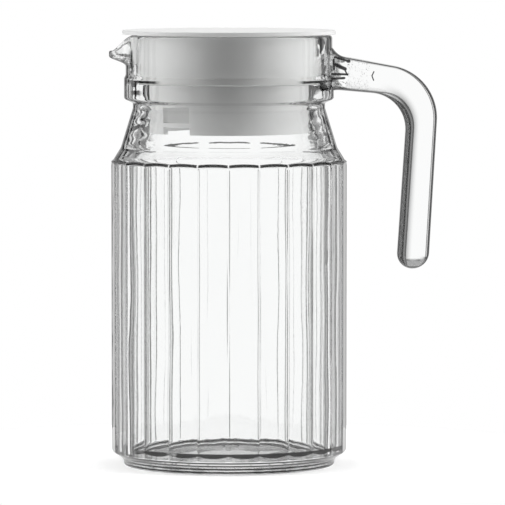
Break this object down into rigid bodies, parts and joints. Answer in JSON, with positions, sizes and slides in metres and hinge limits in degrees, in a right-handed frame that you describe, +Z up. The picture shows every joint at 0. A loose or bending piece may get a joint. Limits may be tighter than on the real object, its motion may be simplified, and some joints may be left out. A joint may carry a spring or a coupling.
{
  "type": "glass pitcher",
  "caption": "Round glass pitcher with flat vertical panels, a pouring spout, an open hook handle and a white plug lid that turns and lifts out.",
  "frame": {"origin": "on the jug's axis, in the plane of the ring that it stands on", "axes": "+Z up along the jug's axis, the spout towards -X and the handle towards +X"},
  "size_m": [0.121, 0.086, 0.1593],
  "materials": {
    "glass": "clear, fire-polished",
    "lid_plastic": "satin",
    "seal": "soft"
  },
  "bodies": {
    "jug": {"jug_body": "glass", "handle": "glass"},
    "seal": {"seal_ring": "seal"},
    "lid": {"lid_cover": "lid_plastic", "pour_plug": "lid_plastic"}
  },
  "joints": [
    {"name": "lid_lift", "type": "slide", "parent": "jug", "child": "seal", "axis": [0, 0, 1], "range_m": [0, 0.06]},
    {"name": "lid_turn", "type": "hinge", "parent": "seal", "child": "lid", "pos_m": [0, 0, 0.14], "axis": [0, 0, 1], "continuous": true}
  ]
}
